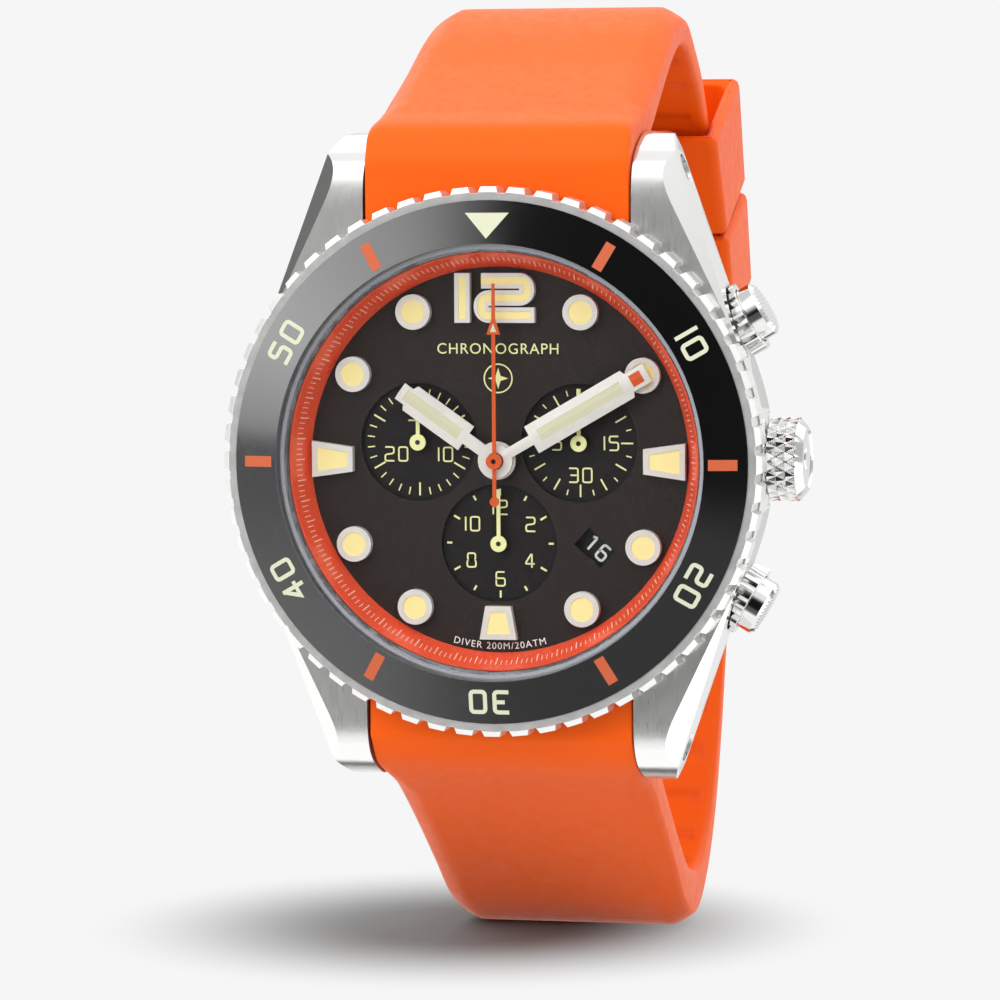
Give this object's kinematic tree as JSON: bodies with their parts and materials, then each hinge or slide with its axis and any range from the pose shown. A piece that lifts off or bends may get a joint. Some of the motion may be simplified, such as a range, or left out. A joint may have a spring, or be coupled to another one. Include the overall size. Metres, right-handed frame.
{
  "type": "diver's chronograph watch",
  "caption": "Dive watch with a toothed turning bezel, three-counter chronograph dial, crown, screw-locked pushers and a buckled rubber strap.",
  "frame": {"origin": "centre of the flat outer face of the case back", "axes": "+Y out of the case back towards the wrist, so the dial faces -Y; +Z towards 12 o'clock; +X towards the crown at 3 o'clock"},
  "size_m": [0.0467, 0.0621, 0.0793],
  "materials": {
    "steel_satin": "brushed flats with polished bevels",
    "steel_polished": "polished steel",
    "rubber_orange": "matte moulded rubber",
    "insert_black": "glossy near-black",
    "lume_light": "pale luminous paint",
    "paint_orange": "orange paint",
    "crystal_glass": "clear sapphire",
    "seal_rubber": "black rubber",
    "flange_orange": "orange, fine white track",
    "dial_black": "fine-grained brown-black",
    "dial_dark": "matte black",
    "hand_silver": "bright metal",
    "movement_brass": "gilt",
    "movement_plastic": "white moulded plastic",
    "board_green": "solder mask",
    "battery_steel": "satin",
    "coil_copper": "enamelled copper wire",
    "date_white": "white print on black",
    "spring_steel": "spring steel"
  },
  "bodies": {
    "case": {"case_middle": "steel_satin", "case_back": "steel_polished", "case_back_screws": "steel_polished", "case_back_gasket": "seal_rubber", "crystal": "crystal_glass", "crystal_gasket": "seal_rubber", "flange_ring": "flange_orange", "bezel_click_spring": "spring_steel", "crown_tube": "steel_polished", "pusher_tubes": "steel_polished", "strap_bars": "steel_polished", "strap_bar_screws": "steel_polished", "dial": "dial_black", "dial_lower_plate": "dial_dark", "hour_markers": "hand_silver", "hour_marker_lume": "lume_light", "main_plate": "movement_brass", "centre_tube": "movement_brass", "movement_ring": "movement_plastic", "circuit_board": "board_green", "battery": "battery_steel", "battery_clamp": "spring_steel", "motor_cores": "spring_steel", "motor_coils": "coil_copper", "movement_screws": "steel_polished", "strap_upper": "rubber_orange", "strap_lower": "rubber_orange", "keeper_lower": "rubber_orange", "buckle_spring_bar": "steel_polished", "start_spring": "spring_steel", "reset_spring": "spring_steel"},
    "bezel": {"bezel_ring": "steel_polished", "bezel_insert": "insert_black", "bezel_numerals": "lume_light", "bezel_bars": "paint_orange"},
    "crown_carrier": {"setting_lever": "spring_steel"},
    "crown": {"crown": "steel_polished", "winding_stem": "spring_steel", "crown_gasket": "seal_rubber"},
    "start_pusher": {"start_pusher": "steel_polished"},
    "reset_pusher": {"reset_pusher": "steel_polished"},
    "start_collar": {"start_collar": "steel_polished"},
    "reset_collar": {"reset_collar": "steel_polished"},
    "minute_hand": {"minute_hand": "hand_silver", "minute_hand_lume": "lume_light", "minute_hand_tip": "paint_orange", "cannon_pinion": "spring_steel"},
    "minute_wheel": {"minute_wheel": "movement_brass"},
    "hour_hand": {"hour_hand": "hand_silver", "hour_hand_lume": "lume_light", "hour_wheel": "movement_brass"},
    "small_seconds": {"small_seconds_hand": "lume_light"},
    "chronograph": {"chronograph_hand": "paint_orange"},
    "minute_counter": {"minute_counter_hand": "lume_light"},
    "hour_counter": {"hour_counter_hand": "lume_light"},
    "date_ring": {"date_ring": "date_white"},
    "buckle": {"buckle_frame": "steel_polished"},
    "tongue": {"buckle_tongue": "steel_polished"},
    "upper_keeper": {"keeper_upper": "rubber_orange"}
  },
  "joints": [
    {"name": "bezel_turn", "type": "hinge", "parent": "case", "child": "bezel", "pos_m": [0, -0.0118, 0], "axis": [0, -1, 0], "continuous": true},
    {"name": "crown_pull", "type": "slide", "parent": "case", "child": "crown_carrier", "axis": [1, 0, 0], "range_m": [0, 0.002]},
    {"name": "crown_turn", "type": "hinge", "parent": "crown_carrier", "child": "crown", "pos_m": [0.0225, -0.0058, 0], "axis": [1, 0, 0], "continuous": true},
    {"name": "start_press", "type": "slide", "parent": "case", "child": "start_pusher", "axis": [-0.866, 0, -0.5], "range_m": [0, 0.0009], "stiffness_N_per_m": 1500, "springref_m": -0.0006, "deforming": ["start_spring"]},
    {"name": "start_collar_turn", "type": "hinge", "parent": "case", "child": "start_collar", "pos_m": [0.01931, -0.0058, 0.01115], "axis": [0.866, 0, 0.5], "range_deg": [0, 180]},
    {"name": "reset_press", "type": "slide", "parent": "case", "child": "reset_pusher", "axis": [-0.866, 0, 0.5], "range_m": [0, 0.0009], "stiffness_N_per_m": 1500, "springref_m": -0.0006, "deforming": ["reset_spring"]},
    {"name": "reset_collar_turn", "type": "hinge", "parent": "case", "child": "reset_collar", "pos_m": [0.01931, -0.0058, -0.01115], "axis": [0.866, 0, -0.5], "range_deg": [0, 180]},
    {"name": "minute_turn", "type": "hinge", "parent": "case", "child": "minute_hand", "pos_m": [0, -0.011, 0], "axis": [0, 1, 0], "continuous": true},
    {"name": "minute_wheel_turn", "type": "hinge", "parent": "case", "child": "minute_wheel", "pos_m": [0, -0.0076, 0.004], "axis": [0, 1, 0], "continuous": true},
    {"name": "hour_turn", "type": "hinge", "parent": "case", "child": "hour_hand", "pos_m": [0, -0.0105, 0], "axis": [0, 1, 0], "continuous": true},
    {"name": "small_seconds_turn", "type": "hinge", "parent": "case", "child": "small_seconds", "pos_m": [0.00665, -0.01, 0.0014], "axis": [0, 1, 0], "continuous": true},
    {"name": "chronograph_turn", "type": "hinge", "parent": "case", "child": "chronograph", "pos_m": [0, -0.0114, 0], "axis": [0, 1, 0], "continuous": true},
    {"name": "minute_counter_turn", "type": "hinge", "parent": "case", "child": "minute_counter", "pos_m": [-0.00665, -0.01, 0.0014], "axis": [0, 1, 0], "continuous": true},
    {"name": "hour_counter_turn", "type": "hinge", "parent": "case", "child": "hour_counter", "pos_m": [0, -0.01, -0.00676], "axis": [0, 1, 0], "continuous": true},
    {"name": "date_turn", "type": "hinge", "parent": "case", "child": "date_ring", "pos_m": [0, -0.0087, 0], "axis": [0, 1, 0], "continuous": true},
    {"name": "buckle_turn", "type": "hinge", "parent": "case", "child": "buckle", "pos_m": [0, 0.039, 0.0012], "axis": [1, 0, 0], "range_deg": [0, 12]},
    {"name": "tongue_turn", "type": "hinge", "parent": "buckle", "child": "tongue", "pos_m": [0, 0.039, 0.0012], "axis": [1, 0, 0], "range_deg": [0, 14]},
    {"name": "keeper_slide", "type": "slide", "parent": "case", "child": "upper_keeper", "axis": [0, -0.534, 0.8455], "range_m": [-0.0004, 0.0008]}
  ],
  "couplings": [
    {"joint": "minute_wheel_turn", "follows": "minute_turn", "ratio": -0.33333},
    {"joint": "hour_turn", "follows": "minute_turn", "ratio": 0.083333},
    {"joint": "small_seconds_turn", "follows": "minute_turn", "ratio": 60},
    {"joint": "minute_counter_turn", "follows": "chronograph_turn", "ratio": 0.033333},
    {"joint": "hour_counter_turn", "follows": "chronograph_turn", "ratio": 0.0013889}
  ]
}
